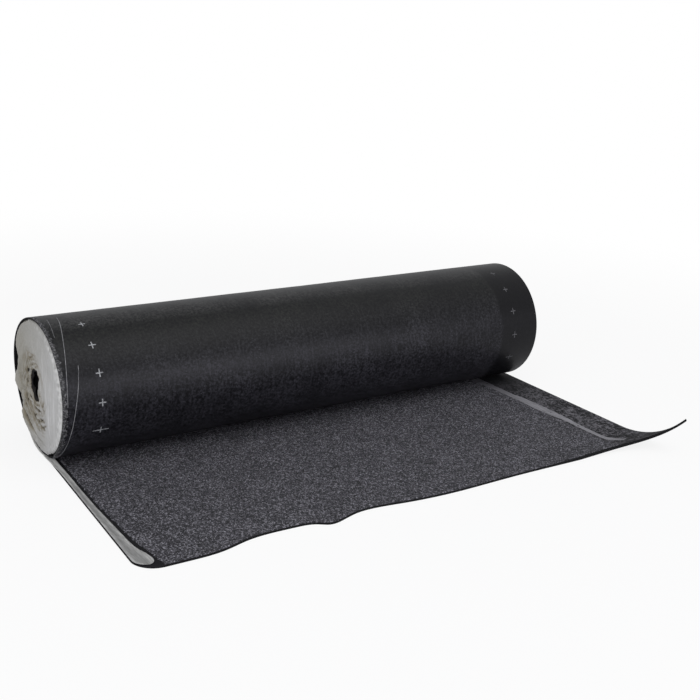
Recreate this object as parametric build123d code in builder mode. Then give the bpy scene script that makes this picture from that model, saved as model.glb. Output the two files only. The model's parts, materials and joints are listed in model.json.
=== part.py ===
from build123d import *
import math
import os

# A roll of mineral-surfaced roofing felt that lies on the end of its own sheet.
# Millimetres and degrees. The coil's axis runs along X, the laid-out tail runs
# towards -Y, and the origin is on the floor under the middle of the coil.

# Coil, the wound felt
coil_width = 1000.0
coil_radius = 118.3
bore_radius = 21.0
felt_thickness = 4.4
settle = 1.0

# Seam between the turns, as it shows in the right end
seam_width = 0.6
seam_depth = 2.0

# Tail, the laid-out end of the outer turn
tail_reach = 442.0
left_inset = 10.5
left_skew = 4.35
right_overhang = 14.0
right_skew = 2.6
corner_radius = 36.0

# Ear, the front right corner, which curls up past a slanting fold
ear_root = 365.0
ear_slant = 12.8
ear_bend_radius = 190.0
ear_bend = 60.0

# Selvedge, the bare margin along the right edge
selvedge_width = 88.0
selvedge_step = 1.4

# Film margin, the thinned left edge that carries the pale film
margin_start = 8.0
margin_skew = 2.9
margin_thickness = 1.8

# Edge film, along that margin and folded over the coil's left end
film_thickness = 1.2
film_gap = 0.6
film_reach = 428.0
spoon_half_length = 26.0
spoon_half_width = 11.0
film_depth = 4.0
pleat_depth = 1.6

# Shares across the tail and of its reach, along the wavy cut at the front
front_cut_shares = (
    (0.0, 1.0), (0.07, 1.0), (0.13, 0.993), (0.17, 0.968), (0.25, 0.963), (0.285, 0.979),
    (0.30, 1.0), (0.325, 0.995), (0.355, 0.973), (0.44, 0.984), (0.53, 1.002), (0.66, 0.998),
    (0.80, 1.002), (0.87, 1.006), (0.92, 1.022), (0.96, 1.062), (1.0, 1.165),
)
# Shares of the pleat depth, from the bore out to the rim of the film
pleat_shares = (0.3, 1.0, 0.2, 0.8, 0.1, 0.9, 0.4, 1.0, 0.3, 0.5)

# Sizes that follow
half_width = coil_width / 2
axis_height = coil_radius - settle
coil_top = axis_height + coil_radius
contact = math.sqrt(coil_radius**2 - axis_height**2)
front_axis_height = axis_height + felt_thickness / 2
front_radius = coil_radius - felt_thickness / 2
turns = int((coil_radius - bore_radius) / felt_thickness)
film_rim_radius = coil_radius - 2 * felt_thickness
spoon_reach = film_reach - spoon_half_length
coil_axis = Axis((0, 0, axis_height), (1, 0, 0))


# Edges of the tail, at a distance in front of the coil's axis
def left_edge(reach):
    return left_inset - half_width - reach * math.tan(math.radians(left_skew))


def film_line(reach):
    return left_inset + margin_start - half_width - reach * math.tan(math.radians(margin_skew))


def right_edge(reach):
    return half_width + right_overhang - reach * math.tan(math.radians(right_skew))


def front_cut_point(across_share, reach_share):
    reach = tail_reach * reach_share
    return left_edge(reach) + across_share * (right_edge(reach) - left_edge(reach)), -reach


# Laid sheet between two heights above its underside, still without its outline:
# flat up to the fold, then bent up on a round of one radius
def laid_sheet(low, high):
    slant = math.radians(ear_slant)
    side = Plane(origin=(right_edge(ear_root), -ear_root, 0),
                 x_dir=(math.sin(slant), -math.cos(slant), 0),
                 z_dir=(-math.cos(slant), -math.sin(slant), 0))
    with BuildPart() as sheet:
        with BuildSketch(side.offset(-coil_width)):
            with BuildLine():
                below = Line((-coil_width, low), (0, low))
                below_bend = JernArc(below @ 1, (1, 0), ear_bend_radius - low, ear_bend)
                above = Line((-coil_width, high), (0, high))
                above_bend = JernArc(above @ 1, (1, 0), ear_bend_radius - high, ear_bend)
                Line(below @ 0, above @ 0)
                Line(below_bend @ 1, above_bend @ 1)
            make_face()
        extrude(amount=3 * coil_width)
    return sheet.part


# Upright prism over an outline on the floor, as tall as the ear can reach
def prism(outline, bottom=-ear_bend_radius, top=ear_bend_radius):
    with BuildPart() as upright:
        with BuildSketch(Plane.XY.offset(bottom)):
            add(outline)
        extrude(amount=top - bottom)
    return upright.part


# Outer half turn behind the coil, between two upright planes across the axis
def half_turn(start, end):
    with BuildPart() as ring:
        with BuildSketch(Plane.YZ.offset(start)):
            with Locations((0, axis_height)):
                Circle(coil_radius)
                Circle(coil_radius - felt_thickness, mode=Mode.SUBTRACT)
                Rectangle(2 * coil_radius, 4 * coil_radius, align=(Align.MAX, Align.CENTER),
                          mode=Mode.SUBTRACT)
            Rectangle(4 * coil_radius, 2 * coil_radius, align=(Align.CENTER, Align.MAX),
                      mode=Mode.SUBTRACT)
        extrude(amount=end - start)
    return ring.part


# Plane across the axis that leans out from the coil's end at the top to the tail's edge
def leaning_end(tail_edge, coil_end):
    lean = math.atan2(tail_edge - coil_end, coil_top)
    return Plane(origin=(tail_edge, 0, 0), z_dir=(math.cos(lean), 0, math.sin(lean)))


# Half circles of the seam's spiral, about two centres half a thickness apart
def spiral(offset):
    arcs = []
    for turn in range(1, turns):
        radius = coil_radius - turn * felt_thickness + offset
        arcs.append(ThreePointArc((0, axis_height - radius), (radius, axis_height),
                                  (0, axis_height + radius)))
        radius -= felt_thickness / 2
        arcs.append(ThreePointArc((0, front_axis_height + radius), (-radius, front_axis_height),
                                  (0, front_axis_height - radius)))
    return arcs


# Plan of the film margin, with its wider, rounded end, drawn in by a gap on the tail's
# side and left open at the tail's edge
def margin_plan(gap):
    outside = left_edge(film_reach) - corner_radius
    spoon_middle = film_line(spoon_reach)
    with BuildSketch() as plan:
        with BuildLine():
            Polyline((film_line(contact) - gap, -contact - gap), (outside, -contact - gap),
                     (outside, gap - film_reach), (spoon_middle, gap - film_reach),
                     (spoon_middle - gap, -spoon_reach), close=True)
        make_face()
        with Locations((spoon_middle, -spoon_reach)):
            Ellipse(spoon_half_width - gap, spoon_half_length - gap)
    return plan.sketch


# Outline of the tail on the floor, with its wavy cut and rounded corner
with BuildSketch() as tail_outline:
    with BuildLine():
        front_cut = Spline(*[front_cut_point(*shares) for shares in front_cut_shares])
        Polyline(front_cut @ 1, (right_edge(-contact), contact),
                 (left_edge(-contact), contact), front_cut @ 0)
    make_face()
    fillet(tail_outline.vertices().sort_by_distance(front_cut @ 0)[0], corner_radius)

# Outline of the film strip, a gap inside the tail's own edge
with BuildSketch() as film_outline:
    offset(tail_outline.sketch, amount=-film_gap)
    add(margin_plan(film_gap), mode=Mode.INTERSECT)

# Slivers that the leaning ends take from and add to the outer half turn
with BuildPart() as left_step:
    add(half_turn(-half_width, left_inset - half_width))
    split(bisect_by=leaning_end(left_inset - half_width, -half_width), keep=Keep.BOTTOM)

with BuildPart() as right_step:
    add(half_turn(half_width, half_width + right_overhang))
    split(bisect_by=leaning_end(half_width + right_overhang, half_width), keep=Keep.BOTTOM)

with BuildPart() as tail:
    add(laid_sheet(0, felt_thickness))
    add(prism(tail_outline.sketch), mode=Mode.INTERSECT)
    # Selvedge, thinner than the granule-covered field
    with BuildSketch() as selvedge:
        with BuildLine():
            far = 2 * tail_reach
            Polyline((right_edge(-contact) - selvedge_width, contact), (right_edge(-contact), contact),
                     (right_edge(far) + selvedge_width, -far), (right_edge(far) - selvedge_width, -far),
                     close=True)
        make_face()
    add(laid_sheet(felt_thickness - selvedge_step, 2 * felt_thickness).intersect(
        prism(selvedge.sketch)), mode=Mode.SUBTRACT)
    # Film margin, thinned so that the film lies in it
    add(prism(margin_plan(0), margin_thickness, ear_bend_radius), mode=Mode.SUBTRACT)

with BuildPart() as felt_roll:
    # Coil, its profile round behind and a half thickness smaller in front
    with BuildSketch(Plane.YZ.offset(-half_width)):
        with BuildLine():
            back = ThreePointArc((contact, 0), (coil_radius, axis_height), (0, coil_top))
            front = ThreePointArc(back @ 1, (-front_radius, front_axis_height),
                                  (0, front_axis_height - front_radius))
            Polyline(front @ 1, (0, 0), back @ 0)
        make_face()
    extrude(amount=coil_width)
    # Outer half turn behind, whose ends run out of line towards the tail
    add(left_step.part, mode=Mode.SUBTRACT)
    add(right_step.part)
    add(tail.part)
    # Bore
    with BuildSketch(Plane.YZ.offset(-half_width)):
        with Locations((0, axis_height)):
            Circle(bore_radius)
    extrude(amount=coil_width, mode=Mode.SUBTRACT)
    # Recess of the folded film in the left end
    with BuildSketch(Plane.YZ.offset(-half_width)):
        with Locations((0, axis_height)):
            Circle(film_rim_radius + film_gap)
    extrude(amount=film_depth, mode=Mode.SUBTRACT)
    # Seam between the turns in the right end
    with BuildSketch(Plane.YZ.offset(half_width)):
        with BuildLine():
            outer = spiral(seam_width / 2)
            inner = spiral(-seam_width / 2)
            Line(outer[0] @ 0, inner[0] @ 0)
            Line(outer[-1] @ 1, inner[-1] @ 1)
        make_face()
    extrude(amount=-seam_depth, mode=Mode.SUBTRACT)

with BuildPart() as edge_film:
    # Strip along the tail
    with BuildSketch(Plane.XY.offset(margin_thickness)):
        add(film_outline.sketch)
    extrude(amount=film_thickness)

with BuildPart() as end_film:
    # Pleated face over the coil's end, turned about its axis
    with BuildSketch(Plane.XZ):
        with BuildLine():
            steps = len(pleat_shares) - 1
            face = Polyline(*[
                (pleat_depth * share - half_width,
                 axis_height + bore_radius + (film_rim_radius - bore_radius) * step / steps)
                for step, share in enumerate(pleat_shares)])
            Polyline(face @ 1, (film_depth - half_width, (face @ 1).Y),
                     (film_depth - half_width, (face @ 0).Y), face @ 0)
        make_face()
    revolve(axis=coil_axis)

os.makedirs("parts", exist_ok=True)
felt_roll.part.label = "felt_roll"
export_step(felt_roll.part, "parts/felt_roll.step")
edge_film.part.label = "edge_film"
export_step(edge_film.part, "parts/edge_film.step")
end_film.part.label = "end_film"
export_step(end_film.part, "parts/end_film.step")
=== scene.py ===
import json
import math
from bisect import bisect_right

import bpy
from mathutils import Matrix, Vector, noise


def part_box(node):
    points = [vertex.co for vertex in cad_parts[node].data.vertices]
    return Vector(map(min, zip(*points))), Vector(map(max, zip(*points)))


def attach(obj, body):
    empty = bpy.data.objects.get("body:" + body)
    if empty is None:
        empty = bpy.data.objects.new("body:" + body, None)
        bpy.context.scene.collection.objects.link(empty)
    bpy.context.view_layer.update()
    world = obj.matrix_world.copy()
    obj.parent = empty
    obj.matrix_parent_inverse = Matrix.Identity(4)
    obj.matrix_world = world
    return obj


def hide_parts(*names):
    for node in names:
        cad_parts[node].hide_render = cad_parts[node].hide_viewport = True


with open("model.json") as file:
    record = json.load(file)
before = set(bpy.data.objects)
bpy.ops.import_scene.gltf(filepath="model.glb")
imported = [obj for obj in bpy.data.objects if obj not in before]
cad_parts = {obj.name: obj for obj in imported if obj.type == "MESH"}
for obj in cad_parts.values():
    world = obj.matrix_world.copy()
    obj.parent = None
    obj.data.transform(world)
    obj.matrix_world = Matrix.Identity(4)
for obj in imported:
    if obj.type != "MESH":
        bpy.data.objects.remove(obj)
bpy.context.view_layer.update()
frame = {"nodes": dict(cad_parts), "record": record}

MM = 0.001

# Distance that counts as none, and the least divisor
NEAR = 0.01 * MM
TINY = 1e-9

# Coil, from the frame
coil_low, coil_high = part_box("felt_roll")
film_low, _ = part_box("end_film")
bore = next(mount for mount in frame["record"]["mounts"] if mount["name"] == "bore")
AXIS_HEIGHT = bore["pos_m"][2]
BORE_RADIUS = bore["dims"]["r_mm"] * MM
COIL_RADIUS = coil_high.z - AXIS_HEIGHT
LEFT_END = film_low.x
RIGHT_END = -LEFT_END
FRONT_REACH = -coil_low.y

# Winding: behind, the turns are round about the axis, and in front about a point half a
# thickness higher
FELT_THICKNESS = 4.4 * MM
SHEET_THICKNESS = 3.0 * MM
FRONT_AXIS_HEIGHT = AXIS_HEIGHT + FELT_THICKNESS / 2
FRONT_RADIUS = COIL_RADIUS - FELT_THICKNESS / 2
SETTLE = COIL_RADIUS - AXIS_HEIGHT
TURNS = int((COIL_RADIUS - BORE_RADIUS) / FELT_THICKNESS)

# Laid-out tail: its edges at the coil's foot, and the fold past which its corner curls up
TAIL_LEFT = -489.5 * MM
TAIL_RIGHT = 514.0 * MM
TAIL_RIGHT_SKEW = math.radians(2.6)
SELVEDGE_WIDTH = 88 * MM
FOLD_PLACE = (497.4 * MM, -365 * MM)
FOLD_SLANT = math.radians(12.8)
BEND_RADIUS = 190 * MM

# Edges of the film margin and of the granules: distance in front of the axis and place
# across, in millimetres
MARGIN_EDGE = (
    (-20, -480), (0, -481), (100, -487), (165, -491.5), (230, -495.5), (300, -497.2), (350, -499),
    (370, -498.6), (384, -496.5), (396, -493), (410, -491), (440, -491))
GRAIN_EDGE = (
    (-20, -475), (0, -476), (95, -482), (165, -487), (225, -490.8), (285, -492), (330, -492.6),
    (357, -492.6), (376, -490.5), (392, -488), (417, -486.5), (445, -485))


# Modelling

def only(piece):
    bpy.ops.object.select_all(action="DESELECT")
    piece.select_set(True)
    bpy.context.view_layer.objects.active = piece


def leave_edit():
    bpy.ops.object.mode_set(mode="OBJECT")


def pick(piece, kind, test):
    """Opens the piece in edit mode with those parts selected whose corners all pass a test."""
    only(piece)
    bpy.ops.object.mode_set(mode="EDIT")
    bpy.ops.mesh.select_mode(type=kind)
    bpy.ops.mesh.select_all(action="DESELECT")
    leave_edit()
    mesh = piece.data
    if kind == "VERT":
        for vertex in mesh.vertices:
            vertex.select = test(vertex.co)
    else:
        for part in mesh.edges if kind == "EDGE" else mesh.polygons:
            part.select = all(test(mesh.vertices[index].co) for index in part.vertices)
    bpy.ops.object.mode_set(mode="EDIT")


def pick_all(piece, kind):
    pick(piece, kind, lambda point: True)


def join(pieces):
    only(pieces[0])
    for piece in pieces[1:]:
        piece.select_set(True)
    bpy.ops.object.join()
    return pieces[0]


def settle_place(piece, name):
    """Moves the piece's place into its mesh, so that its object sits at the origin."""
    only(piece)
    piece.name = name
    bpy.ops.object.transform_apply(location=True, rotation=True, scale=True)
    return piece


def modify(piece, kind, **settings):
    only(piece)
    modifier = piece.modifiers.new(kind.lower(), kind)
    for key, value in settings.items():
        setattr(modifier, key, value)
    bpy.ops.object.modifier_apply(modifier=modifier.name)


def spin(steps, angle, height):
    """Turns what is picked about a level line across the roll."""
    bpy.ops.mesh.spin(steps=steps, angle=angle, center=(0, 0, height), axis=(1, 0, 0))


def agree_faces(piece):
    pick_all(piece, "FACE")
    bpy.ops.mesh.normals_make_consistent(inside=False)
    leave_edit()


def point_faces(piece, outward):
    """Makes the faces agree, and turns them all over if, by their areas, they point more inward
    than outward. The test gives how far a face points outward."""
    agree_faces(piece)
    piece.data.update()
    if sum(face.area * outward(face) for face in piece.data.polygons) < 0:
        pick_all(piece, "FACE")
        bpy.ops.mesh.flip_normals()
        leave_edit()


def paint(piece, *materials):
    piece.data.materials.clear()
    for material in materials:
        piece.data.materials.append(material)


def finish(piece, node=None, smooth=40):
    """Shades the piece smooth up to an angle in degrees, puts it in the root body, and hides
    the CAD node it stands for, if one is given."""
    only(piece)
    if smooth:
        bpy.ops.object.shade_smooth_by_angle(angle=math.radians(smooth))
    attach(piece, "root")
    if node:
        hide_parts(node)


def add_object(name, data):
    made = bpy.data.objects.new(name, data)
    bpy.context.collection.objects.link(made)
    return made


def chain(name, *lines):
    """Open chains of edges, one for each line of points."""
    points, edges = [], []
    for line in lines:
        start = len(points)
        points += line
        edges += [(start + step, start + step + 1) for step in range(len(line) - 1)]
    mesh = bpy.data.meshes.new(name)
    mesh.from_pydata(points, edges, [])
    return add_object(name, mesh)


def grid(name, columns, rows):
    bpy.ops.mesh.primitive_grid_add(x_subdivisions=columns, y_subdivisions=rows, size=1)
    piece = bpy.context.object
    piece.name = name
    return piece


def between(table, value):
    """Value read off a table of pairs along straight lines."""
    place = min(max(bisect_right(table, (value, math.inf)), 1), len(table) - 1)
    (low, low_value), (high, high_value) = table[place - 1], table[place]
    share = min(max((value - low) / max(high - low, TINY), 0), 1)
    return low_value + share * (high_value - low_value)


def ease(value):
    """Share from 0 to 1 with a soft start and end."""
    value = min(max(value, 0), 1)
    return value * value * (3 - 2 * value)


def spread(line, count):
    """The same line with its points at even spacing."""
    reached = [0]
    for start, end in zip(line, line[1:]):
        reached.append(reached[-1] + math.dist(start, end))
    points, part = [], 0
    for step in range(count + 1):
        wanted = reached[-1] * step / count
        while part < len(line) - 2 and reached[part + 1] < wanted:
            part += 1
        share = (wanted - reached[part]) / max(reached[part + 1] - reached[part], TINY)
        points.append(tuple(a + share * (b - a) for a, b in zip(line[part], line[part + 1])))
    return points


def swirl(*place):
    return noise.noise(Vector(place))


def swirl_round(turn, pitch, layer):
    """Noise that closes on itself over a full turn."""
    return swirl(pitch * math.cos(turn), pitch * math.sin(turn), layer)


# Tail

# Faces of the front cut: how far they turn to the front, how much they may slope, and how near
# to the axis they may come
LEFT_TURN, RIGHT_TURN = 0.02, 0.3
WALL_SLOPE = 0.35
CUT_NEAREST = 395 * MM
UNDERSIDE = 0.5 * MM
CORNER_WIDTH = 30 * MM
CUT_DIGITS = 5


def front_cut():
    """Plan points along the tail's front cut, left to right, read from the frame's own walls."""
    mesh = frame["nodes"]["felt_roll"].data
    points = set()
    for face in mesh.polygons:
        corners = [mesh.vertices[index].co for index in face.vertices]
        on_left = face.center.x < 0
        faces_front = face.normal.y < -(LEFT_TURN if on_left else RIGHT_TURN)
        if not faces_front or abs(face.normal.z) > WALL_SLOPE:
            continue
        if max(corner.y for corner in corners) > -CUT_NEAREST:
            continue
        if on_left and min(corner.z for corner in corners) > UNDERSIDE:
            continue
        points.update((round(corner.x, CUT_DIGITS), round(corner.y, CUT_DIGITS))
                      for corner in corners)
    return sorted(points)


CUT = front_cut()


def right_edge(reach):
    return TAIL_RIGHT - reach * math.tan(TAIL_RIGHT_SKEW)


def selvedge_line(reach):
    return right_edge(reach) - SELVEDGE_WIDTH


def left_cut(reach):
    """The tail's left edge, with its rounded corner."""
    start = CUT[0]
    if reach <= -start[1]:
        return TAIL_LEFT + (start[0] - TAIL_LEFT) * max(reach, 0) / -start[1]
    corner = sorted((-y, x) for x, y in CUT if x < start[0] + CORNER_WIDTH)
    return between(corner, reach)


def lift(across, reach, above):
    """Height on the tail, above its underside, with the curl of its corner."""
    past = ((across - FOLD_PLACE[0]) * math.sin(FOLD_SLANT)
            + (reach + FOLD_PLACE[1]) * math.cos(FOLD_SLANT))
    if past <= 0:
        return above
    return BEND_RADIUS - math.sqrt(max((BEND_RADIUS - above) ** 2 - past ** 2, 0))


# Unevenness of the outer turn, which grows up from the floor
SWELL = 0.5 * MM
SWELL_RISE = 40 * MM
# Where the outer turn's left end starts to run out to the coil's, and over what height
FOOT_START = 4 * MM
FOOT_RISE = 28 * MM


def swell(point):
    """How far the outer turn stands out at a point, from lying unevenly on the turns inside."""
    broad = swirl(point.x * 5, point.y * 9, point.z * 9)
    narrow = swirl(point.x * 30, point.y * 20, point.z * 20 + 7)
    return SWELL * (0.7 * broad + 0.3 * narrow - 0.5) * ease(point.z / SWELL_RISE)


def foot_inset(height):
    """How far the outer turn's left end runs in towards the tail's edge, low down in front."""
    return (TAIL_LEFT - LEFT_END) * (1 - ease((height - FOOT_START) / FOOT_RISE))


def roll_point(across, angle, above):
    """Place on the coil's face, at an angle in degrees up from its front."""
    turn = math.radians(angle)
    outward = Vector((0, -math.cos(turn), math.sin(turn)))
    point = Vector((across, 0, FRONT_AXIS_HEIGHT)) + outward * FRONT_RADIUS
    return point + outward * (above + swell(point))


SHEET_COLUMNS = 250
TAIL_ROWS = 64
TURN_STEPS = 60
MARGIN_DROP = 1.2 * MM
MARGIN_SLOPE = 4 * MM
MARGIN_LIMIT = -450 * MM
CUT_ROUND = 0.35 * MM
# Burr under the curled cut: its height, where it fades, and how exactly its points are found
CUT_BURR = 3.2 * MM
BURR_FADE = 60 * MM
CUT_NEAR = 0.1 * MM
UNDER_NEAR = 0.2 * MM


def make_sheet(film, bitumen, cut_face):
    """The tail and the outer turn, one sheet with its film face outside and below."""
    front = [(x, y, 0) for x, y in spread(CUT, SHEET_COLUMNS)]
    foot = spread([(TAIL_LEFT, 0, 0), (TAIL_RIGHT, 0, 0)], SHEET_COLUMNS)
    sheet = chain("sheet", front, foot)
    pick_all(sheet, "EDGE")
    bpy.ops.mesh.bridge_edge_loops(number_cuts=TAIL_ROWS - 1, interpolation="LINEAR")
    leave_edit()
    # Outer turn, up behind and down in front
    top = 2 * COIL_RADIUS
    pick(sheet, "EDGE", lambda point: abs(point.y) < NEAR)
    spin(TURN_STEPS, -math.pi, COIL_RADIUS)
    leave_edit()
    pick(sheet, "EDGE", lambda point: abs(point.z - top) < NEAR)
    spin(TURN_STEPS, -math.pi, top - FRONT_RADIUS)
    leave_edit()
    for vertex in sheet.data.vertices:
        point = vertex.co
        if point.y > NEAR or point.z > NEAR:
            # The ends lean in from the tail's edges to the coil's
            lean = 1 if point.y <= NEAR else ease(point.z / top)
            share = (point.x - TAIL_LEFT) / (TAIL_RIGHT - TAIL_LEFT)
            point.x += lean * (LEFT_END + share * (RIGHT_END - LEFT_END) - point.x)
            if point.y <= NEAR:
                point.x += foot_inset(point.z) * (1 - share)
            point.z = max(point.z - SETTLE, 0)
            outward = Vector((0, point.y, point.z - AXIS_HEIGHT)).normalized()
            point += outward * swell(point)
        else:
            point.z = lift(point.x, -point.y, 0)
    point_faces(sheet, lambda face: -face.normal.z if face.center.y < -COIL_RADIUS else 0)
    paint(sheet, film, bitumen, cut_face)
    modify(sheet, "SOLIDIFY", thickness=SHEET_THICKNESS, offset=-1, material_offset=1,
           material_offset_rim=2)
    # Thinner margin under the edge film
    for vertex in sheet.data.vertices:
        point = vertex.co
        on_top = SHEET_THICKNESS * 0.9 < point.z < SHEET_THICKNESS * 1.1
        if point.y < 0 and on_top and point.x < MARGIN_LIMIT:
            edge = between(MARGIN_EDGE, -point.y / MM) * MM
            point.z -= MARGIN_DROP * (1 - ease((point.x - edge) / MARGIN_SLOPE))
        # Burr under the cut where it is off the floor
        on_cut = abs(point.y - between(CUT, point.x)) < CUT_NEAR
        if on_cut and 0 < point.z < lift(point.x, -point.y, 0) + UNDER_NEAR:
            point.z -= min(point.z, CUT_BURR * (1 - 0.5 * ease(point.z / BURR_FADE)))
    modify(sheet, "BEVEL", width=CUT_ROUND, segments=2, limit_method="ANGLE",
           angle_limit=math.radians(60))
    finish(sheet, "felt_roll")


GRAIN_COLUMNS = 400
GRAIN_ROWS = 190
GRAIN_LAYER = 1.15 * MM
GRAIN_RELIEF = 0.45 * MM
GRAIN_RAGGED = 2.4 * MM
GRAIN_INSET = 0.8 * MM
GRAIN_SINK = 0.6 * MM
# Steepness of the bed's slope at its rim, and the search for how far out a point lies
FIELD_SLOPE = 330
FIRST_REACH = 0.85
SEARCH_STEPS = 4


def make_granule_field(granules):
    """Bed of the granules, ending raggedly at the film margin and at the lap strip."""
    field = grid("granule_field", GRAIN_COLUMNS, GRAIN_ROWS)
    for vertex in field.data.vertices:
        across, along = vertex.co.x + 0.5, 0.5 - vertex.co.y
        reach = along * FRONT_REACH * FIRST_REACH
        for _ in range(SEARCH_STEPS):
            left = between(GRAIN_EDGE, reach / MM) * MM
            x = left + across * (selvedge_line(reach) - left)
            reach = along * (-between(CUT, x) - GRAIN_INSET)
        if across in (0, 1):
            ragged = swirl(x * 90, reach * 170, 8) + 0.5 * swirl(x * 90, reach * 500, 2)
            x += GRAIN_RAGGED * (ragged - 0.2)
        rim = ease(min(across, 1 - across, (1 - along) * 0.5) * FIELD_SLOPE)
        height = SHEET_THICKNESS + GRAIN_LAYER * rim - GRAIN_SINK * (1 - rim)
        height += GRAIN_RELIEF * (swirl(x * 300, reach * 300, 3) - 0.2)
        vertex.co = (x, -reach, lift(x, reach, height))
    paint(field, granules)
    return field


# Up to a full turn about each axis
FULL_TURNS = (6.28, 6.28, 6.28)


def random_value(tree, kind, low, high, seed):
    made = tree.nodes.new("FunctionNodeRandomValue")
    made.data_type = kind
    lowest, highest = [socket for socket in made.inputs if socket.enabled][:2]
    lowest.default_value, highest.default_value = low, high
    made.inputs["Seed"].default_value = seed
    return next(socket for socket in made.outputs if socket.enabled)


def scatter(carrier, chip, name, material, density, sizes, seed):
    """Copies of a chip over a carrier's faces, turned at random and joined to one piece."""
    only(carrier)
    bpy.ops.object.duplicate()
    grains = bpy.context.object
    grains.name = name
    tree = bpy.data.node_groups.new(name, "GeometryNodeTree")
    for side in ("INPUT", "OUTPUT"):
        tree.interface.new_socket(name="Geometry", in_out=side, socket_type="NodeSocketGeometry")
    node, link = tree.nodes.new, tree.links.new
    start = node("NodeGroupInput")
    end = node("NodeGroupOutput")
    points = node("GeometryNodeDistributePointsOnFaces")
    points.inputs["Density"].default_value = density
    points.inputs["Seed"].default_value = seed
    model = node("GeometryNodeObjectInfo")
    model.inputs["Object"].default_value = chip
    turn = node("FunctionNodeEulerToRotation")
    copies = node("GeometryNodeInstanceOnPoints")
    stored = node("GeometryNodeStoreNamedAttribute")
    stored.data_type, stored.domain = "FLOAT", "INSTANCE"
    stored.inputs["Name"].default_value = "tone"
    real = node("GeometryNodeRealizeInstances")
    link(start.outputs[0], points.inputs["Mesh"])
    link(points.outputs["Points"], copies.inputs["Points"])
    link(model.outputs["Geometry"], copies.inputs["Instance"])
    link(random_value(tree, "FLOAT_VECTOR", (0, 0, 0), FULL_TURNS, seed + 1), turn.inputs[0])
    link(turn.outputs[0], copies.inputs["Rotation"])
    link(random_value(tree, "FLOAT", *sizes, seed + 2), copies.inputs["Scale"])
    link(copies.outputs["Instances"], stored.inputs["Geometry"])
    tone = next(socket for socket in stored.inputs if socket.enabled and socket.name == "Value")
    link(random_value(tree, "FLOAT", 0.0, 1.0, seed + 3), tone)
    link(stored.outputs["Geometry"], real.inputs["Geometry"])
    link(real.outputs["Geometry"], end.inputs[0])
    modify(grains, "NODES", node_group=tree)
    paint(grains, material)
    finish(grains, smooth=None)


CHIP_RADIUS = 0.85 * MM
CHIP_HEIGHT = 1.0 * MM


def make_chip():
    """One granule, a small four-sided splinter."""
    bpy.ops.mesh.primitive_cone_add(vertices=3, radius1=CHIP_RADIUS, radius2=0, depth=CHIP_HEIGHT)
    return settle_place(bpy.context.object, "chip")


# Lap strip: light edge of the granules along the selvedge, both its sides in millimetres
LAP_LEFT = (
    (-10, 414), (60, 413), (97, 414.5), (131, 415), (176, 414), (222, 411), (254, 413.5),
    (283, 418), (316, 418), (351, 415.5), (406, 415.5), (428, 433))
LAP_RIGHT = (
    (-10, 438), (30, 437), (86, 435), (136, 434), (164, 438.5), (200, 438.5), (243, 437.5),
    (287, 434), (332, 428), (371, 427), (395, 427.5), (428, 442))
LAP_COLUMNS = 14
LAP_ROWS = 220
LAP_BACK = 4 * MM
LAP_REACH = 428 * MM
LAP_STEP = 3 * MM
LAP_UNEVEN = 1.3 * MM
LAP_OVER = 0.2 * MM
LAP_RELIEF = 0.25 * MM
LAP_SINK = 0.5 * MM


def make_lap_strip(lap_film):
    strip = grid("lap_strip", LAP_COLUMNS, LAP_ROWS)
    for vertex in strip.data.vertices:
        across, along = vertex.co.x + 0.5, 0.5 - vertex.co.y
        reach = -LAP_BACK + (LAP_REACH + LAP_BACK) * along
        left, right = (between(side, reach / MM) * MM for side in (LAP_LEFT, LAP_RIGHT))
        uneven = LAP_UNEVEN * swirl(reach * 120, 4, across)
        x = left + across * (right - left) + uneven * (2 * across - 1)
        inner = (x - selvedge_line(reach)) / LAP_STEP
        height = SHEET_THICKNESS + LAP_OVER
        height += (GRAIN_LAYER + GRAIN_RELIEF) * (1 - ease(inner + 0.5))
        height += LAP_RELIEF * (swirl(x * 200, reach * 90, 1) - 0.2) - LAP_SINK * (across in (0, 1))
        vertex.co = (x, -reach, lift(x, reach, height))
    paint(strip, lap_film)
    finish(strip, smooth=180)


# Coil inside the outer turn

CORE_SIDES = 160
CORE_GAP = 0.3 * MM
CORE_LEFT = LEFT_END + 16 * MM
CORE_RIGHT = RIGHT_END - 3.2 * MM
EDGE_WIDTH_SHARE = 0.8
EDGE_ROUND = 0.5 * MM
EDGE_STEPS = 44
EDGE_UNEVEN = 1.5 * MM
EDGE_LOWEST = 0.2 * MM
BORE_CUTS = 20


def draw_in(share):
    bpy.ops.transform.resize(value=(1, share, share), center_override=(0, 0, AXIS_HEIGHT))


def make_core(bitumen):
    """Inner turns as one body round the open bore, set back behind the turns' edges."""
    radius = COIL_RADIUS - FELT_THICKNESS - CORE_GAP
    bpy.ops.mesh.primitive_cylinder_add(
        vertices=CORE_SIDES, radius=radius, depth=CORE_RIGHT - CORE_LEFT, end_fill_type="NOTHING",
        location=((CORE_RIGHT + CORE_LEFT) / 2, 0, AXIS_HEIGHT), rotation=(0, math.pi / 2, 0))
    core = settle_place(bpy.context.object, "coil_core")
    pick(core, "VERT", lambda point: point.y < -NEAR)
    draw_in((radius - FELT_THICKNESS / 2) / radius)
    bpy.ops.transform.translate(value=(0, 0, FELT_THICKNESS / 2))
    leave_edit()
    # Ends drawn in to the bore, and the bore's wall between them
    for end in (CORE_LEFT, CORE_RIGHT):
        pick(core, "EDGE", lambda point: abs(point.x - end) < NEAR)
        bpy.ops.mesh.extrude_region_move()
        draw_in(BORE_RADIUS / radius)
        leave_edit()
    pick(core, "EDGE", lambda point: math.hypot(point.y, point.z - AXIS_HEIGHT) < BORE_RADIUS * 1.3)
    bpy.ops.mesh.bridge_edge_loops(number_cuts=BORE_CUTS)
    leave_edit()
    agree_faces(core)
    paint(core, bitumen)
    finish(core, "felt_roll")


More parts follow.
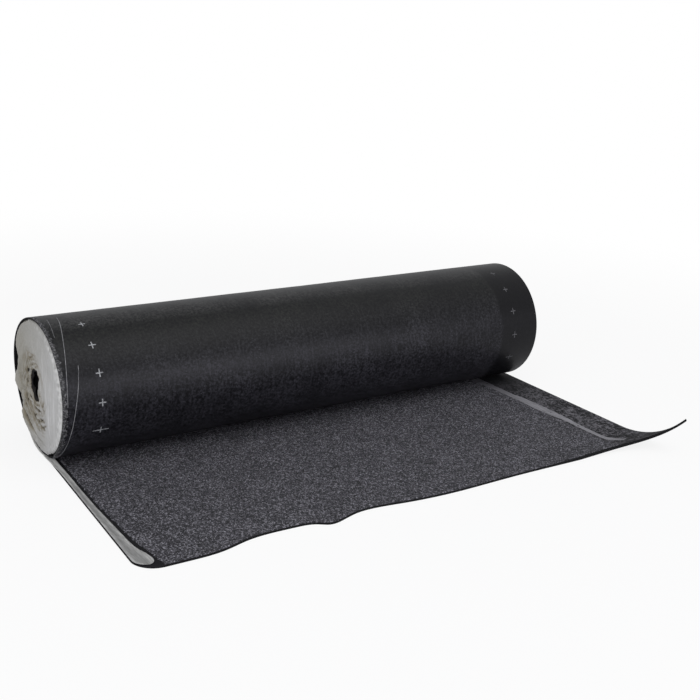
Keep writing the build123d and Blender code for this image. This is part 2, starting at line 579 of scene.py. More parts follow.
def make_turn_edges(cut_face):
    """Edges of the wound turns at the right end: one profile spun in half turns about two
    centres, so that each turn ends where the next begins."""
    foot = AXIS_HEIGHT - (COIL_RADIUS - FELT_THICKNESS)
    width = FELT_THICKNESS * EDGE_WIDTH_SHARE
    profile = [(CORE_RIGHT, 0, foot), (RIGHT_END - EDGE_ROUND, 0, foot + EDGE_ROUND / 5),
               (RIGHT_END, 0, foot + EDGE_ROUND),
               (RIGHT_END - EDGE_ROUND / 3, 0, foot + width / 2),
               (RIGHT_END, 0, foot + width - EDGE_ROUND),
               (RIGHT_END - EDGE_ROUND, 0, foot + width - EDGE_ROUND / 5),
               (CORE_RIGHT, 0, foot + width)]
    edges = chain("turn_edges", profile)
    pick_all(edges, "EDGE")
    for half in range(2 * (TURNS - 1)):
        centre = FRONT_AXIS_HEIGHT if half % 2 else AXIS_HEIGHT
        spin(EDGE_STEPS, -math.pi, centre)
    leave_edit()
    for vertex in edges.data.vertices:
        point = vertex.co
        if point.x > CORE_RIGHT + NEAR:
            turn = int(math.hypot(point.y, point.z - AXIS_HEIGHT) / FELT_THICKNESS)
            point.x += EDGE_UNEVEN * (swirl(point.y * 22, point.z * 22, turn * 1.7) - 0.3)
            point.x += 0.3 * MM * swirl(point.y * 160, point.z * 160, turn)
        point.z = max(point.z, EDGE_LOWEST)
    point_faces(edges, lambda face: face.normal.x)
    paint(edges, cut_face)
    finish(edges)


# Film folded over the left end: angles in degrees up from the front, lengths in millimetres

RIM_RADII = (
    (-180, 103), (-171, 107), (-165, 101), (-159, 85.5), (-150, 85.5), (-142, 107.5), (-125, 114.4),
    (-105, 115), (-92, 114), (-83, 110), (-68, 106.5), (-54, 107.5), (-42, 112), (-32, 115.2),
    (0, 115.8), (40, 115.8), (90, 116.4), (125, 115.6), (142, 111.5), (152, 106), (158, 93),
    (168, 90), (175, 94), (180, 103))
# The ragged hole, about its own middle
HOLE_MIDDLE = Vector((13, 3.7))
HOLE_RADII = (
    (-180, 18.5), (-163, 17.5), (-140, 14), (-122, 13), (-108, 19), (-95, 22), (-75, 23), (-56, 25),
    (-47, 20), (-37, 9), (-15, 6.5), (12, 6.5), (30, 10), (40, 19), (52, 20), (62, 19.5), (73, 24),
    (90, 22), (105, 22.8), (122, 22.5), (140, 20), (159, 19.3), (180, 18.5))
# How far the film may reach before it stands through the outer turn's face
RIM_LIMITS = (
    (-180, 116.5), (-95, 115.1), (-80, 113.4), (-60, 113.3), (-30, 114.1), (0, 115.2), (30, 116.3),
    (90, 117.3), (180, 116.5))
FILM_SPOKES = 320
FILM_RINGS = 110
FILM_THICKNESS = 0.4 * MM
# Radius that the innermost ring stands for, and the span of all rings
RING_START = 18
RING_SPAN = 96
# Deep creases: angle and radius of the middle, half length in degrees, half width and depth
CREASES = (
    (159, 49, 10, 2.6, 5.5), (178, 50, 10, 2.0, 4.5), (-172, 45, 9, 1.8, 3.5),
    (-150, 64, 12, 2.0, 3.4), (-131, 40, 10, 2.2, 3.0), (-104, 38, 18, 1.9, 4.0),
    (-84, 52, 14, 2.0, 3.4), (-103, 76, 6, 1.5, 2.4), (-118, 58, 12, 1.8, 3.0),
    (-66, 62, 12, 1.7, 2.0), (125, 56, 22, 2.2, 1.8), (100, 42, 22, 2.0, 2.0),
    (60, 34, 26, 1.8, 2.0), (-40, 30, 24, 1.8, 2.4), (165, 74, 16, 1.7, 1.6),
    (-160, 80, 14, 1.6, 1.5), (15, 30, 30, 1.7, 2.2), (-10, 44, 26, 1.6, 1.2),
    (145, 88, 16, 1.6, 1.0), (-106, 94, 26, 1.4, 3.0), (-128, 95, 12, 2.5, 6.0),
    (-136, 98, 9, 4.0, 3.6), (170, 80, 14, 1.8, 2.6), (-142, 76, 12, 1.8, 3.0),
    (-95, 62, 8, 2.2, 4.0), (-76, 66, 8, 1.8, 3.4), (-122, 70, 9, 2.0, 3.4))
# Height of a crease's lip as a share of its depth, and how many half widths off it stands
CREASE_LIP = 0.4
LIP_PLACE = 2.1
# Wandering wrinkles: pitch across them, bends on a turn, and whether they keep to the middle
WRINKLES = ((9.0, 1.6, True), (5.5, 2.6, True), (12.0, 2.0, False))
WRINKLE_WIDTH = 0.1
# Where the film is most worn, the pitch of its rings, how far its middle sinks, and its
# swollen rim: height, radius and width
WORN_SIDE = math.radians(35)
RING_PITCH = 9.5
MIDDLE_SINK = 2.6
SWOLLEN_RIM = (1.3, 107, 6)


def film_relief(y, z, ring):
    """Height of the folded film at a place in its end's plane and on one of its rings, and how
    deep that lies in the folds, in millimetres."""
    radius = math.hypot(y, z)
    turn = math.atan2(z, -y)
    angle = math.degrees(turn)
    worn = 0.5 - 0.5 * math.cos(turn - WORN_SIDE)
    inner = ease((58 + 46 * worn - ring) / 36)
    drift = swirl(y / 30, z / 30, 5)
    wander = swirl(y / 12, z / 12, 9)
    crumple = inner * (0.3 + 0.7 * worn)
    wave = ring / RING_PITCH + angle / 360 + 1.1 * drift + 0.35 * wander
    rings = math.sin(wave * 2 * math.pi)
    height = (0.15 + 0.9 * crumple) * rings + 0.7 * drift + 1.2 * crumple * wander
    height -= MIDDLE_SINK * inner
    rise, place, width = SWOLLEN_RIM
    height += rise * math.exp(-((radius - place) / width) ** 2)
    depth = crumple * (0.7 - 0.35 * rings + 1.1 * wander)
    for pitch, bends, keeps_in in WRINKLES:
        near = swirl(ring / pitch + 0.8 * drift, bends * math.cos(turn) + pitch,
                     bends * math.sin(turn))
        wrinkle = max(1 - abs(near) / WRINKLE_WIDTH, 0) * (inner if keeps_in else 0.25)
        height -= wrinkle * (0.5 + worn)
        depth += 1.1 * wrinkle * (0.35 + 0.65 * worn)
    for middle, far, half_turn, half_width, deep in CREASES:
        off_turn = ((angle - middle + 180) % 360 - 180) / half_turn
        off_side = radius - far - 2.2 * wander - 1.2 * off_turn
        along = math.exp(-off_turn ** 2 * 1.3)
        off_side /= half_width
        dent = along * math.exp(-off_side ** 2)
        height += deep * (CREASE_LIP * along * math.exp(-(off_side - LIP_PLACE) ** 2) - dent)
        depth += dent * deep / 2
    return height, depth


def make_folded_film(pale_film):
    ends = [(LEFT_END, 0, AXIS_HEIGHT + radius) for radius in (BORE_RADIUS, COIL_RADIUS)]
    film = chain("folded_film", spread(ends, FILM_RINGS))
    pick_all(film, "EDGE")
    spin(FILM_SPOKES, 2 * math.pi, AXIS_HEIGHT)
    bpy.ops.mesh.select_all(action="SELECT")
    bpy.ops.mesh.remove_doubles(threshold=NEAR)
    leave_edit()
    depths = []
    for vertex in film.data.vertices:
        point = vertex.co
        far = math.hypot(point.y, point.z - AXIS_HEIGHT)
        turn = math.atan2(point.z - AXIS_HEIGHT, -point.y)
        angle = math.degrees(turn)
        share = (far - BORE_RADIUS) / (COIL_RADIUS - BORE_RADIUS)
        ragged, torn, frayed = (swirl_round(turn, *scale) for scale in ((3, 2), (16, 4), (45, 6)))
        front = 0.5 + 0.5 * math.cos(turn)
        hole = between(HOLE_RADII, angle) + 1.2 * ragged + 1.2 * torn
        rim = between(RIM_RADII, angle) + 0.8 * ragged
        rim += (1 + 2.5 * front) * (torn + 0.9 * frayed - 0.15)
        rim = min(rim, between(RIM_LIMITS, angle))
        outward = Vector((-math.cos(turn), math.sin(turn)))
        y, z = (HOLE_MIDDLE + outward * hole).lerp(outward * rim, share)
        height, depth = film_relief(y, z, RING_START + RING_SPAN * share)
        # Set in low down, where the tail's edge is, and turned in at its rim and its hole
        low_down = math.exp(-(((angle + 280) % 360 - 180) / 42) ** 2) * ease(share)
        rim_turn = (1 - ease((1 - share) * 16)) ** 2
        hole_turn = 1 - ease(share * 14)
        set_in = 9 * low_down + (5 - 3 * front) * rim_turn + 3 * hole_turn ** 2
        vertex.co = (LEFT_END + (set_in - height) * MM, y * MM, AXIS_HEIGHT + z * MM)
        # Paler lip along the rim in front, a painted highlight, and darker towards the hole,
        # painted shade; both go into the fold value
        lip_highlight = front ** 2 * math.exp(-(((1 - share) * rim - 6) / 14) ** 2)
        lip_highlight *= 0.5 + 0.6 * torn + 0.5 * frayed + 1.2 * swirl(y / 4, z / 7, 3)
        depths.append(depth + 5 * hole_turn - 1.6 * lip_highlight)
    film.data.attributes.new("fold", "FLOAT", "POINT").data.foreach_set("value", depths)
    point_faces(film, lambda face: -face.normal.x)
    modify(film, "SOLIDIFY", thickness=FILM_THICKNESS, offset=-1)
    paint(film, pale_film)
    finish(film, "end_film", smooth=180)


# Film strip along the tail's left edge and a little way up behind the coil

STRIP_COLUMNS = 16
STRIP_ROWS = 170
STRIP_TIP = 428 * MM
STRIP_CROWDING = 1.35
STRIP_INSET = 0.9 * MM
# How far the strip stands out past the sheet's edge at the coil, and where that begins
STRIP_WRAP = 4.8 * MM
WRAP_REACH = 90 * MM
SPOON_MIDDLE = -501 * MM
SPOON_END = 13 * MM
STRIP_CLIMB = math.radians(58)
CLIMB_STEPS = 24


def make_strip_film(edge_film):
    strip = grid("strip_film", STRIP_COLUMNS, STRIP_ROWS)
    for vertex in strip.data.vertices:
        across, along = vertex.co.x + 0.5, 0.5 - vertex.co.y
        reach = STRIP_TIP * (1 - (1 - along) ** STRIP_CROWDING)
        closing = math.sqrt(max(1 - max((reach - STRIP_TIP) / SPOON_END + 1, 0) ** 2, 0))
        wrap = STRIP_WRAP * (1 - ease(reach / WRAP_REACH))
        left = SPOON_MIDDLE + (left_cut(reach) + STRIP_INSET - wrap - SPOON_MIDDLE) * closing
        right = SPOON_MIDDLE + (between(MARGIN_EDGE, reach / MM) * MM - SPOON_MIDDLE) * closing
        x = left + across * (right - left)
        trough = math.cos((across - 0.5) * 2 * math.pi)
        height = SHEET_THICKNESS - MARGIN_DROP + (0.95 - 0.5 * trough * closing) * MM
        height += (0.3 * MM * swirl(x * 130, reach * 22, 4) + 0.06 * wrap) * closing
        vertex.co = (x, -reach if reach > NEAR else 0, height)
    pick(strip, "EDGE", lambda point: abs(point.y) < NEAR)
    spin(CLIMB_STEPS, -STRIP_CLIMB, COIL_RADIUS)
    leave_edit()
    for vertex in strip.data.vertices:
        point = vertex.co
        if point.y > NEAR:
            climb = math.atan2(point.y, COIL_RADIUS - point.z) / STRIP_CLIMB
            inset = point.x - (TAIL_LEFT + STRIP_INSET - STRIP_WRAP)
            point.x -= inset * 0.6 * ease((climb - 0.5) * 2) - STRIP_WRAP * ease(climb * 1.3 - 0.3)
            point.x += ease(point.z / (2 * COIL_RADIUS)) * (LEFT_END - TAIL_LEFT)
            point.z -= SETTLE * ease(climb * 4)
    point_faces(strip, lambda face: face.normal.z)
    modify(strip, "SOLIDIFY", thickness=FILM_THICKNESS, offset=-1)
    paint(strip, edge_film)
    finish(strip, "edge_film", smooth=180)


# Gritty band on the coil's face along its left end: angle and width in millimetres
BAND_WIDTHS = ((-85, 6), (-70, 8), (-60, 10), (-30, 10.5), (0, 9), (30, 7.5), (60, 6.5), (95, 6))
BAND_COLUMNS = 7
BAND_ROWS = 150
BAND_START = -82
BAND_SPAN = 177
BAND_HEIGHT = 0.7 * MM
BAND_UNEVEN = 0.25 * MM
BAND_SINK = 0.4 * MM
BAND_OUT = 0.5 * MM


def make_rim_band(grit):
    band = grid("rim_band", BAND_COLUMNS, BAND_ROWS)
    for vertex in band.data.vertices:
        across, along = vertex.co.x + 0.5, vertex.co.y + 0.5
        angle = BAND_START + BAND_SPAN * along
        width = between(BAND_WIDTHS, angle) * MM * (1 + 0.9 * (swirl(angle / 3, 2, 0) - 0.1))
        foot = foot_inset(roll_point(0, angle, 0).z)
        x = LEFT_END + foot - BAND_OUT + across * width
        above = BAND_HEIGHT * (1 - across ** 2) + BAND_UNEVEN * swirl(x * 400, angle / 1.2, 5)
        above *= min(1, 8 * across + 0.2)
        vertex.co = roll_point(x, angle, above if 0 < across < 1 else -BAND_SINK)
    point_faces(band, lambda face: -face.normal.y)
    paint(band, grit)
    return band


# Lap lines in the film face, as places across in millimetres at angles in degrees
LAP_LINES = (((-464, 88), (-467, 78), (-472, 68), (-478.5, 54), (-484, 40), (-489, 25),
              (-491.3, 12), (-492, 2)),
             ((-466, 33), (-469, 26), (-473.5, 14), (-479, 0.5), (-484, -20), (-487.5, -41),
              (-489, -55)),
             ((-482, 86), (-483.5, 80), (-486, 70), (-489, 60)))
LINE_RADII = (0.48 * MM, 0.45 * MM, 0.25 * MM)
LINE_STEPS = 60
# Places at these angles off a line's point are averaged, to round its corners
LINE_SHIFTS = (-5, -2.5, 0, 2.5, 5)


def make_lap_lines(ridge_film):
    ridges = []
    for line, radius in zip(LAP_LINES, LINE_RADII):
        turned = sorted((angle, across) for across, angle in line)
        path = []
        for step in range(LINE_STEPS + 1):
            angle = turned[0][0] + (turned[-1][0] - turned[0][0]) * step / LINE_STEPS
            near = [between(turned, angle + shift) for shift in LINE_SHIFTS]
            path.append(roll_point(sum(near) / len(near) * MM, angle, 0.05 * MM))
        ridge = chain("lap_lines", path)
        only(ridge)
        bpy.ops.object.convert(target="CURVE")
        ridge.data.bevel_depth = radius
        ridge.data.bevel_resolution = 1
        bpy.ops.object.convert(target="MESH")
        ridges.append(ridge)
    lines = join(ridges)
    paint(lines, ridge_film)
    finish(lines, smooth=60)


# Printed registration crosses: place across in millimetres, angle in degrees, half lengths
# of the two arms in millimetres
CROSSES_LEFT = (
    (-435, 72, 5.5, 6), (-435, 48.5, 6.2, 6.2), (-435, 25, 6, 6.5), (-435, 1.5, 6, 6.2),
    (-435, -23.5, 13.5, 6))
CROSSES_RIGHT = (
    (440, 72, 6, 6), (440, 48.5, 6, 6), (440, 25, 6, 6.5), (440, 1.5, 6, 6.5), (440, -23.5, 9, 6))
ARM_WIDTH = 1.7 * MM
ARM_CUTS = 5
ARM_WOBBLE = 0.25 * MM
INK_THICKNESS = 0.12 * MM


def make_cross(across, angle, half_along, half_round):
    bpy.ops.mesh.primitive_plane_add(size=ARM_WIDTH)
    cross = bpy.context.object
    rim = ARM_WIDTH / 2 * 0.99
    for x, y, length in ((1, 0, half_along), (-1, 0, half_along),
                         (0, 1, half_round), (0, -1, half_round)):
        reach = length * MM - ARM_WIDTH / 2
        pick(cross, "EDGE", lambda point: point.x * x + point.y * y > rim
             and max(abs(point.x), abs(point.y)) < ARM_WIDTH)
        bpy.ops.mesh.extrude_region_move(
            TRANSFORM_OT_translate={"value": (x * reach, y * reach, 0)})
        leave_edit()
    pick_all(cross, "FACE")
    bpy.ops.mesh.subdivide(number_cuts=ARM_CUTS)
    leave_edit()
    for vertex in cross.data.vertices:
        x, y, _ = vertex.co
        wobble = ARM_WOBBLE * swirl(x * 500, y * 500, angle)
        turned = angle + math.degrees((y + wobble) / FRONT_RADIUS)
        vertex.co = roll_point(across * MM + x + wobble, turned, INK_THICKNESS)
    return cross


def make_crosses(name, places, ink):
    marks = join([make_cross(*place) for place in places])
    marks.name = name
    point_faces(marks, lambda face: -face.normal.y)
    modify(marks, "SOLIDIFY", thickness=INK_THICKNESS, offset=-1)
    paint(marks, ink)
    finish(marks, smooth=30)


# Camera, fitted to the outline of the roll in the photo
CAMERA_PLACE = (-1.0955, -1.6921, 0.7473)
CAMERA_HEADING = 0.623
CAMERA_TILT = 0.301
CAMERA_ROLL = 0.053
FOCAL_PIXELS = 1131.3
PHOTO_WIDTH = 700.0
SENSOR_WIDTH = 36.0


def add_camera():
    forward = Vector((math.sin(CAMERA_HEADING) * math.cos(CAMERA_TILT),
                      math.cos(CAMERA_HEADING) * math.cos(CAMERA_TILT), -math.sin(CAMERA_TILT)))
    level = Vector((math.cos(CAMERA_HEADING), -math.sin(CAMERA_HEADING), 0))
    upright = level.cross(forward)
    right = math.cos(CAMERA_ROLL) * level + math.sin(CAMERA_ROLL) * upright
    up = -math.sin(CAMERA_ROLL) * level + math.cos(CAMERA_ROLL) * upright
    turn = Matrix((right, up, -forward)).transposed().to_4x4()
    data = bpy.data.cameras.new("camera")
    data.sensor_width = SENSOR_WIDTH
    data.lens = FOCAL_PIXELS / PHOTO_WIDTH * SENSOR_WIDTH
    camera = add_object("camera", data)
    camera.matrix_world = Matrix.Translation(CAMERA_PLACE) @ turn
    bpy.context.scene.camera = camera


# Materials

class Finish:
    """A material whose nodes are added one after another."""

    def __init__(self, name, roughness, specular=0.5):
        self.material = bpy.data.materials.new(name)
        self.material.use_nodes = True
        self.tree = self.material.node_tree
        self.shader = self.tree.nodes["Principled BSDF"]
        self.shader.inputs["Roughness"].default_value = roughness
        self.shader.inputs["Specular IOR Level"].default_value = specular
        self.place = self.tree.nodes.new("ShaderNodeTexCoord").outputs["Object"]

    def add(self, kind, output=0, settings=None, **inputs):
        """One node with its inputs linked or set: by number as i0, i1, or by their names."""
        made = self.tree.nodes.new("ShaderNode" + kind)
        for key, value in (settings or {}).items():
            setattr(made, key, value)
        for key, value in inputs.items():
            socket = made.inputs[int(key[1:]) if key[1:].isdigit() else key.replace("_", " ")]
            if isinstance(value, bpy.types.NodeSocket):
                self.tree.links.new(value, socket)
            else:
                socket.default_value = value
        return made.outputs[output]

    def attribute(self, name):
        return self.add("Attribute", "Fac", {"attribute_name": name})

    def stretched(self, scale):
        return self.add("Mapping", Vector=self.place, Scale=scale)

    def noise(self, scale, detail=3.0, rough=0.5, place=None):
        return self.add("TexNoise", "Fac", Vector=place or self.place, Scale=scale, Detail=detail,
                        Roughness=rough)

    def cells(self, scale, output="Color"):
        return self.add("TexVoronoi", output, Vector=self.place, Scale=scale)

    def combine(self, kind, first, second):
        return self.add("Math", settings={"operation": kind}, i0=first, i1=second)

    def times(self, first, second):
        return self.combine("MULTIPLY", first, second)

    def plus(self, first, second):
        return self.combine("ADD", first, second)

    def span(self, value, low, high, to_low=0.0, to_high=1.0):
        return self.add("MapRange", Value=value, From_Min=low, From_Max=high, To_Min=to_low,
                        To_Max=to_high)

    def part(self, which):
        return self.add("SeparateXYZ", which, Vector=self.place)

    def blend(self, share, first, second, kind="MIX"):
        first, second = ((*colour, 1.0) if isinstance(colour, tuple) else colour
                         for colour in (first, second))
        return self.add("Mix", 2, {"data_type": "RGBA", "blend_type": kind}, i0=share, i6=first,
                        i7=second)

    def ramp(self, value, *stops):
        """Colours along a value, each given with its position."""
        made = self.tree.nodes.new("ShaderNodeValToRGB")
        self.tree.links.new(value, made.inputs["Fac"])
        elements = made.color_ramp.elements
        for element, (position, colour) in zip(list(elements), (stops[0], stops[-1])):
            element.position, element.color = position, (*colour, 1)
        for position, colour in stops[1:-1]:
            elements.new(position).color = (*colour, 1)
        return made.outputs["Color"]

    def colour(self, value):
        self.tree.links.new(value, self.shader.inputs["Base Color"])

    def rough(self, value):
        self.tree.links.new(value, self.shader.inputs["Roughness"])

    def bump(self, height, distance, strength=1.0, under=None):
        inputs = {"Height": height, "Distance": distance, "Strength": strength}
        if under:
            inputs["Normal"] = under
        normal = self.add("Bump", **inputs)
        self.tree.links.new(normal, self.shader.inputs["Normal"])
        return normal


def film_face():
    """Thin black plastic film over bitumen, hazy with dust, and smoother at its right edge. The
    dust's
    tint carries painted light: a bluish painted reflection low down, painted shade on the upper
    face and a painted highlight along the top.
    """
    made = Finish("film_face", 0.42, 0.18)
    streaks = made.noise(1.0, 3.0, 0.6, made.stretched((300, 22, 22)))
    clouds = made.noise(9.0, 4.0, 0.6)
    grain = made.noise(420.0, 2.0, 0.7)
    mist = made.noise(240.0, 3.0, 0.8)
    specks = made.cells(170.0, "Distance")
    smooth_edge = made.span(made.part("X"), 0.404, 0.411)
    dust = made.times(made.span(mist, 0.42, 0.66), made.span(clouds, 0.32, 0.68, 0.3, 1.0))
    dust = made.plus(dust, made.span(streaks, 0.52, 0.75, 0.0, 0.3))
    dust = made.plus(dust, made.times(made.span(specks, 0.2, 0.08, 0.0, 1.8),
                                      made.span(made.noise(60.0, 2.0), 0.52, 0.6)))
    dust = made.times(dust, made.span(smooth_edge, 0.0, 1.0, 1.0, 0.12))
    # Dust tint by height: lighter and bluish low down as a painted reflection, darker on the upper
    # face as painted shade, and brighter along the top as a painted highlight
    high = made.span(made.part("Z"), 0.15, 0.215)
    dust_and_sheen = made.blend(high, (0.046, 0.045, 0.055), (0.021, 0.022, 0.020))
    dust_and_sheen = made.blend(made.span(made.part("Z"), 0.224, 0.236), dust_and_sheen, (0.085, 0.085, 0.085))
    made.colour(made.blend(dust, (0.0042, 0.0041, 0.0052), dust_and_sheen))
    made.rough(made.span(dust, 0.0, 1.2, 0.34, 0.55))
    lumps = made.bump(made.noise(70.0, 3.0), 0.5 * MM, 0.35)
    made.bump(made.plus(grain, made.span(streaks, 0.3, 0.8, 0.0, 0.8)), 0.08 * MM, 0.6, lumps)
    return made.material


def bitumen_face():
    """Matt black bitumen, with dust patches on the selvedge that thin out near the coil and higher
    up, as painted shade of the coil.
    """
    made = Finish("bitumen", 0.7, 0.12)
    grain = made.noise(480.0, 3.0, 0.7)
    grit = made.noise(200.0, 2.0, 0.85)
    patches = made.noise(38.0, 5.0, 0.65)
    # Dust on the selvedge, thinned towards the coil as painted shade
    dust_and_shade = made.times(made.span(made.part("X"), 0.40, 0.415),
                     made.span(made.part("Y"), -0.05, -0.2, 0.08, 1.0))
    mottle = made.span(made.plus(patches, made.times(grit, 1.8)), 1.32, 1.6)
    plain = made.blend(grain, (0.005, 0.005, 0.006), (0.014, 0.014, 0.016))
    # Less dust higher up by the coil's foot: painted shade
    dust_and_shade = made.times(dust_and_shade, made.span(made.part("Z"), 6 * MM, 25 * MM, 1.0, 0.3))
    made.colour(made.blend(made.times(mottle, dust_and_shade), plain, (0.136, 0.132, 0.147)))
    made.bump(made.plus(grit, patches), 0.5 * MM, 0.8)
    return made.material


def cut_bitumen():
    made = Finish("cut_bitumen", 0.7, 0.12)
    crumbs = made.noise(700.0, 3.0, 0.7)
    made.colour(made.blend(made.span(crumbs, 0.35, 0.75), (0.003, 0.003, 0.0035),
                           (0.012, 0.012, 0.013)))
    made.bump(crumbs, 0.3 * MM, 0.8)
    return made.material


GRANULE_CELLS = 640.0
LARGE_CELLS = 400.0


def granule_bed():
    """Packed mineral granules of mixed greys."""
    made = Finish("granule_bed", 0.75, 0.35)
    stones = made.add("SeparateColor", 0, Color=made.cells(GRANULE_CELLS))
    large = made.add("SeparateColor", 1, Color=made.cells(LARGE_CELLS))
    greys = made.ramp(made.plus(made.times(stones, 0.55), made.times(large, 0.45)),
                      (0.22, (0.006, 0.006, 0.0075)), (0.58, (0.046, 0.0447, 0.054)),
                      (0.88, (0.26, 0.255, 0.29)))
    clouds = made.span(made.noise(16.0, 3.0), 0.3, 0.7, 0.88, 1.12)
    made.colour(made.blend(1.0, greys, clouds, "MULTIPLY"))
    made.bump(made.cells(GRANULE_CELLS, "Distance"), -0.8 * MM, 0.9)
    return made.material


def granule_chips():
    """Loose-looking granules, each of one grey, with a few bright ones."""
    made = Finish("granule_chips", 0.6, 0.5)
    middle = ((position, (grey, grey * 0.98, grey * 1.17))
              for position, grey in ((0.4, 0.025), (0.7, 0.08), (0.88, 0.24)))
    greys = made.ramp(made.attribute("tone"), (0.0, (0.014, 0.014, 0.017)), *middle,
                      (1.0, (0.50, 0.49, 0.52)))
    made.colour(made.blend(made.noise(2500.0, 1.0), greys, (0.03, 0.03, 0.034)))
    return made.material


def grit_band():
    """Crushed cut edge with bitumen and stray granules."""
    made = Finish("grit_band", 0.5)
    grain = made.noise(330.0, 3.0, 0.8)
    grains = made.span(grain, 0.5, 0.62)
    made.colour(made.blend(grains, (0.004, 0.004, 0.005), (0.21, 0.208, 0.215)))
    made.bump(grain, 0.8 * MM, 1.0)
    return made.material


def end_film_skin():
    """Pale film over the end, darker and yellower towards the back and darker towards the top. In
    its folds it turns tan, from yellowing and painted shade, and near black as painted shade in the
    deepest creases and at the hole; the front rim is paler as a painted highlight.
    """
    made = Finish("end_film_skin", 0.42, 0.4)
    fold = made.attribute("fold")
    clouds = made.noise(34.0, 5.0, 0.6)
    wipes = made.noise(150.0, 4.0, 0.65)
    streaks = made.noise(1.0, 3.0, 0.6, made.stretched((60, 110, 16)))
    behind = made.plus(made.part("Y"), made.times(made.part("Z"), 0.2))
    behind = made.span(behind, -0.03, 0.1)
    base = made.blend(made.span(clouds, 0.3, 0.7), (0.38, 0.378, 0.374), (0.46, 0.458, 0.456))
    base = made.blend(made.span(streaks, 0.5, 0.68, 0.0, 0.8), base, (0.58, 0.58, 0.585))
    base = made.blend(made.times(behind, 0.9), base, (0.275, 0.262, 0.222))
    base = made.blend(made.span(made.part("Z"), 0.15, 0.21, 0.0, 0.4), base, (0.30, 0.297, 0.285))
    # Paler where the fold value is below zero: the painted highlight along the front rim
    base = made.blend(made.span(fold, -0.2, -1.2, 0.0, 0.9), base, (0.62, 0.62, 0.616))
    # Tan in the folds: yellowing of the film, deepened as painted shade
    tan = made.span(made.plus(fold, made.span(clouds, 0.3, 0.7, -0.5, 0.5)), 0.25, 1.4)
    base = made.blend(made.times(tan, 0.85), base, (0.19, 0.16, 0.105))
    # Near black in the deepest creases and at the hole: painted shade
    crease_shade = made.span(made.plus(fold, made.span(wipes, 0.3, 0.7, -0.4, 0.4)), 1.4, 2.6)
    base = made.blend(crease_shade, base, (0.010, 0.008, 0.007))
    made.colour(base)
    dull = made.plus(crease_shade, made.span(wipes, 0.3, 0.7, 0.0, 0.4))
    made.rough(made.span(dull, 0.0, 1.0, 0.36, 0.8))
    creases = made.bump(made.noise(120.0, 4.0, 0.6), 0.6 * MM, 0.35)
    made.bump(made.noise(620.0, 3.0, 0.6), 0.12 * MM, 0.5, creases)
    return made.material


def edge_film_skin():
    """Greyer film along the margin, darker low in its trough as painted shade, and paler and less
    worn near the coil as painted light.
    """
    made = Finish("edge_film_skin", 0.42)
    wipes = made.noise(1.0, 4.0, 0.6, made.stretched((500, 60, 300)))
    # Painted shade: darker low in the trough
    height = made.span(made.part("Z"), 2.3 * MM, 3.2 * MM)
    # Painted light: paler near the coil, where the coil's end shades the strip
    near = made.span(made.part("Y"), -0.16, -0.04)
    height = made.combine("MAXIMUM", height, near)
    grey_with_painted_light = made.blend(near, (0.47, 0.47, 0.465), (0.80, 0.80, 0.78))
    base = made.blend(height, (0.235, 0.235, 0.233), grey_with_painted_light)
    # Wear thins near the coil, part of the painted light there
    worn = made.times(made.span(wipes, 0.35, 0.75), made.span(near, 0.0, 1.0, 1.0, 0.45))
    made.colour(made.blend(worn, base, (0.165, 0.165, 0.162)))
    made.bump(wipes, 0.25 * MM, 0.5)
    return made.material


def lap_film():
    """Light grey release strip, dusty and streaked along its length."""
    made = Finish("lap_film", 0.5)
    wipes = made.noise(1.0, 4.0, 0.65, made.stretched((420, 45, 200)))
    near = made.span(made.part("Y"), -0.05, -0.18, 0.25, 1.0)
    light = made.blend(near, (0.05, 0.049, 0.055), (0.255, 0.251, 0.274))
    made.colour(made.blend(made.span(wipes, 0.3, 0.66), (0.085, 0.083, 0.094), light))
    made.bump(wipes, 0.2 * MM, 0.5)
    return made.material


def ridge_film():
    made = Finish("ridge_film", 0.35)
    breaks = made.span(made.noise(90.0, 3.0), 0.3, 0.6)
    made.colour(made.blend(breaks, (0.09, 0.09, 0.096), (0.27, 0.27, 0.285)))
    return made.material


def ink(name, worn, bright):
    """Pale printing, worn through in places."""
    made = Finish(name, 0.45)
    wear = made.span(made.noise(650.0, 3.0, 0.7), worn - 0.1, worn + 0.12)
    made.colour(made.blend(wear, (0.02, 0.02, 0.023), bright))
    return made.material


# Pieces

film, bitumen, cut_face = film_face(), bitumen_face(), cut_bitumen()
chip_material = granule_chips()
make_sheet(film, bitumen, cut_face)
field = make_granule_field(granule_bed())
band = make_rim_band(grit_band())
chip = make_chip()
scatter(field, chip, "granules", chip_material, density=112000, sizes=(0.6, 1.6), seed=4)
scatter(band, chip, "rim_grit", chip_material, density=420000, sizes=(0.35, 1.2), seed=9)
bpy.data.objects.remove(chip)
finish(field, smooth=180)
finish(band, smooth=180)
make_lap_strip(lap_film())
make_core(bitumen)
make_turn_edges(cut_face)
make_folded_film(end_film_skin())
make_strip_film(edge_film_skin())
make_lap_lines(ridge_film())
make_crosses("crosses_left", CROSSES_LEFT, ink("ink", 0.42, (0.36, 0.37, 0.385)))
make_crosses("crosses_right", CROSSES_RIGHT, ink("faded_ink", 0.5, (0.12, 0.12, 0.13)))

# Floor, light and camera

WHITE = (1.0, 1.0, 1.0, 1.0)


def camera_share(tree):
    return tree.nodes.new("ShaderNodeLightPath").outputs["Is Camera Ray"]


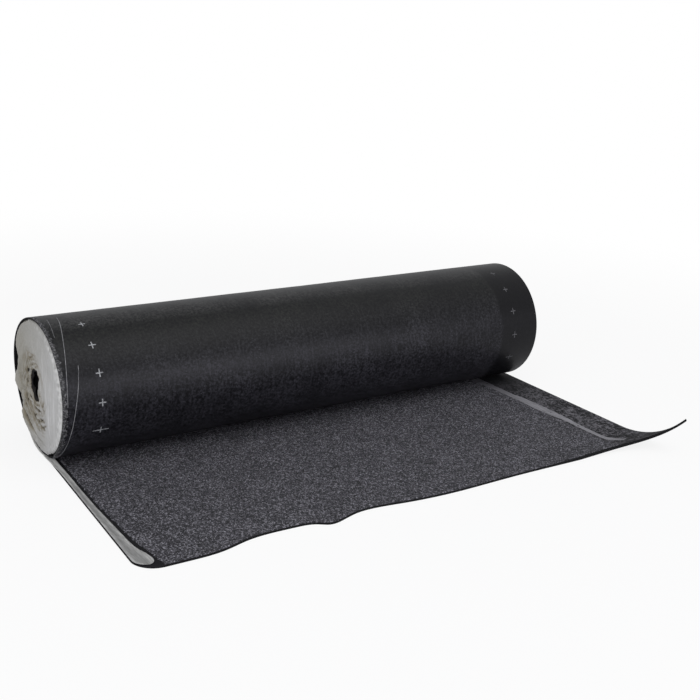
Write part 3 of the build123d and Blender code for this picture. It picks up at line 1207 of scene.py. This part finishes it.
def make_floor():
    bpy.ops.mesh.primitive_plane_add(size=60)
    floor = bpy.context.object
    floor.name = "floor"
    made = bpy.data.materials.new("floor_paper")
    made.use_nodes = True
    tree = made.node_tree
    node, link = tree.nodes.new, tree.links.new
    shader = tree.nodes["Principled BSDF"]
    shader.inputs["Base Color"].default_value = (0.78, 0.78, 0.79, 1)
    shader.inputs["Roughness"].default_value = 0.9
    glow = node("ShaderNodeEmission")
    glow.inputs["Color"].default_value = WHITE
    mix = node("ShaderNodeMixShader")
    place = node("ShaderNodeTexCoord").outputs["Object"]
    distance = node("ShaderNodeVectorMath")
    distance.operation = "LENGTH"
    link(place, distance.inputs[0])
    fade = node("ShaderNodeMapRange")
    fade.interpolation_type = "SMOOTHSTEP"
    for socket, value in (("From Min", 0.7), ("From Max", 2.2), ("To Min", 0.86), ("To Max", 1.0)):
        fade.inputs[socket].default_value = value
    link(distance.outputs["Value"], fade.inputs["Value"])
    share = node("ShaderNodeMath")
    share.operation = "MULTIPLY"
    link(fade.outputs[0], share.inputs[1])
    link(camera_share(tree), share.inputs[0])
    link(share.outputs[0], mix.inputs[0])
    link(shader.outputs[0], mix.inputs[1])
    link(glow.outputs[0], mix.inputs[2])
    link(mix.outputs[0], tree.nodes["Material Output"].inputs[0])
    floor.data.materials.append(made)


def make_world(colour, strength):
    world = bpy.data.worlds.new("studio")
    bpy.context.scene.world = world
    world.use_nodes = True
    tree = world.node_tree
    node, link = tree.nodes.new, tree.links.new
    sky = tree.nodes["Background"]
    sky.inputs["Color"].default_value = (*colour, 1)
    sky.inputs["Strength"].default_value = strength
    white = node("ShaderNodeBackground")
    white.inputs["Color"].default_value = WHITE
    mix = node("ShaderNodeMixShader")
    link(camera_share(tree), mix.inputs[0])
    link(sky.outputs[0], mix.inputs[1])
    link(white.outputs[0], mix.inputs[2])
    link(mix.outputs[0], tree.nodes["World Output"].inputs[0])


def add_light(name, place, target, colour, size, watts):
    data = bpy.data.lights.new(name, "AREA")
    data.shape = "RECTANGLE"
    data.size, data.size_y = size
    data.energy = watts
    data.color = colour
    light = add_object(name, data)
    light.location = place
    light.rotation_euler = (Vector(target) - Vector(place)).to_track_quat("-Z", "Y").to_euler()


make_floor()
make_world((0.97, 0.98, 1.0), strength=0.55)
add_light("overhead", (0.1, -1.3, 2.9), (0, -0.2, 0), (1.0, 0.995, 0.985), size=(3.6, 2.6),
          watts=37)
add_light("front", (1.1, -3.3, 0.9), (0, 0, 0.12), (0.93, 0.92, 1.0), size=(2.4, 1.4), watts=28)
add_light("left", (-2.6, -0.9, 1.1), (-0.5, 0, 0.12), (1.0, 1.0, 1.0), size=(1.6, 1.6), watts=16)
add_camera()
bpy.context.scene.view_settings.view_transform = "Standard"
